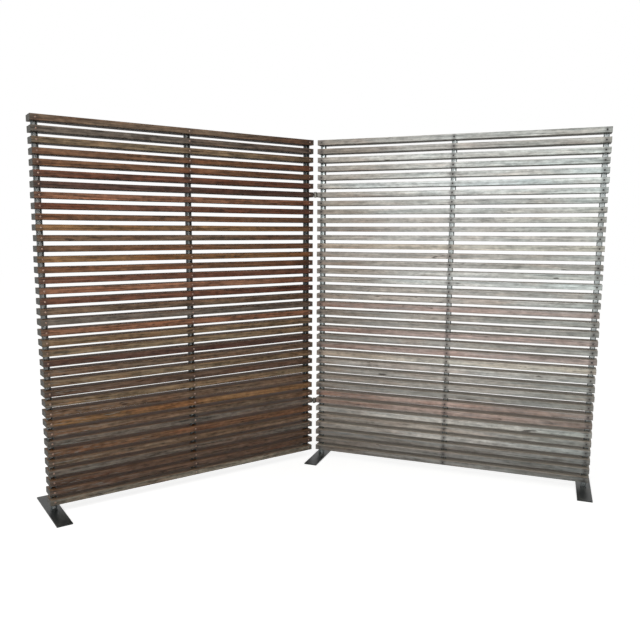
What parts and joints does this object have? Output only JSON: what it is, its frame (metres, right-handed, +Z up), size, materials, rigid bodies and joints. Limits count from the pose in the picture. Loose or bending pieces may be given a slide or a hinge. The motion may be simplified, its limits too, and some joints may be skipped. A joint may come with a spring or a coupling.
{
  "type": "garden privacy screen",
  "caption": "Free-standing folding garden privacy screen: two slatted hardwood panels on steel uprights and foot plates, joined by butt hinges.",
  "frame": {"origin": "middle of the underside of the foot plate at the hinge end of the right panel, on the floor", "axes": "+X along the right panel towards its free end, +Y away from the side that the panels fold towards, +Z up"},
  "size_m": [2.5995, 1.5705, 1.8288],
  "materials": {
    "right_slat_wood": "bare hardwood, weathered silver grey",
    "left_slat_wood": "bare hardwood, reddish brown, partly weathered",
    "upright_steel": "dark satin",
    "foot_steel": "near-black satin",
    "slat_screw_steel": "dull, weathered",
    "hinge_steel": "dull, weathered"
  },
  "bodies": {
    "right_panel": {"right_slats_01_02": "right_slat_wood", "right_slats_03_04": "right_slat_wood", "right_slats_05_06": "right_slat_wood", "right_slats_07_08": "right_slat_wood", "right_slats_09_10": "right_slat_wood", "right_slats_11_12": "right_slat_wood", "right_slats_13_14": "right_slat_wood", "right_slats_15_16": "right_slat_wood", "right_slats_17_18": "right_slat_wood", "right_slats_19_20": "right_slat_wood", "right_slats_21_22": "right_slat_wood", "right_slats_23_24": "right_slat_wood", "right_slats_25_26": "right_slat_wood", "right_slats_27_28": "right_slat_wood", "right_slats_29_30": "right_slat_wood", "right_slats_31_32": "right_slat_wood", "right_slats_33_34": "right_slat_wood", "right_slats_35_36": "right_slat_wood", "right_slats_37_38": "right_slat_wood", "right_hinge_end_upright": "upright_steel", "right_middle_upright": "upright_steel", "right_free_end_upright": "upright_steel", "right_hinge_end_slat_screws": "slat_screw_steel", "right_middle_slat_screws": "slat_screw_steel", "right_free_end_slat_screws": "slat_screw_steel", "right_hinge_end_foot": "foot_steel", "right_free_end_foot": "foot_steel", "upper_hinge_right_leaf": "hinge_steel", "lower_hinge_right_leaf": "hinge_steel", "right_hinge_screws": "hinge_steel", "hinge_pins": "hinge_steel"},
    "left_panel": {"left_slats_01_02": "left_slat_wood", "left_slats_03_04": "left_slat_wood", "left_slats_05_06": "left_slat_wood", "left_slats_07_08": "left_slat_wood", "left_slats_09_10": "left_slat_wood", "left_slats_11_12": "left_slat_wood", "left_slats_13_14": "left_slat_wood", "left_slats_15_16": "left_slat_wood", "left_slats_17_18": "left_slat_wood", "left_slats_19_20": "left_slat_wood", "left_slats_21_22": "left_slat_wood", "left_slats_23_24": "left_slat_wood", "left_slats_25_26": "left_slat_wood", "left_slats_27_28": "left_slat_wood", "left_slats_29_30": "left_slat_wood", "left_slats_31_32": "left_slat_wood", "left_slats_33_34": "left_slat_wood", "left_slats_35_36": "left_slat_wood", "left_slats_37_38": "left_slat_wood", "left_hinge_end_upright": "upright_steel", "left_middle_upright": "upright_steel", "left_free_end_upright": "upright_steel", "left_hinge_end_slat_screws": "slat_screw_steel", "left_middle_slat_screws": "slat_screw_steel", "left_free_end_slat_screws": "slat_screw_steel", "left_free_end_foot": "foot_steel", "upper_hinge_left_leaf": "hinge_steel", "lower_hinge_left_leaf": "hinge_steel", "left_hinge_screws": "hinge_steel"}
  },
  "joints": [
    {"name": "panel_fold", "type": "hinge", "parent": "right_panel", "child": "left_panel", "pos_m": [-0.0327, -0.0446, 0.9144], "axis": [0, 0, 1], "range_deg": [-54.5, 110.5]}
  ]
}
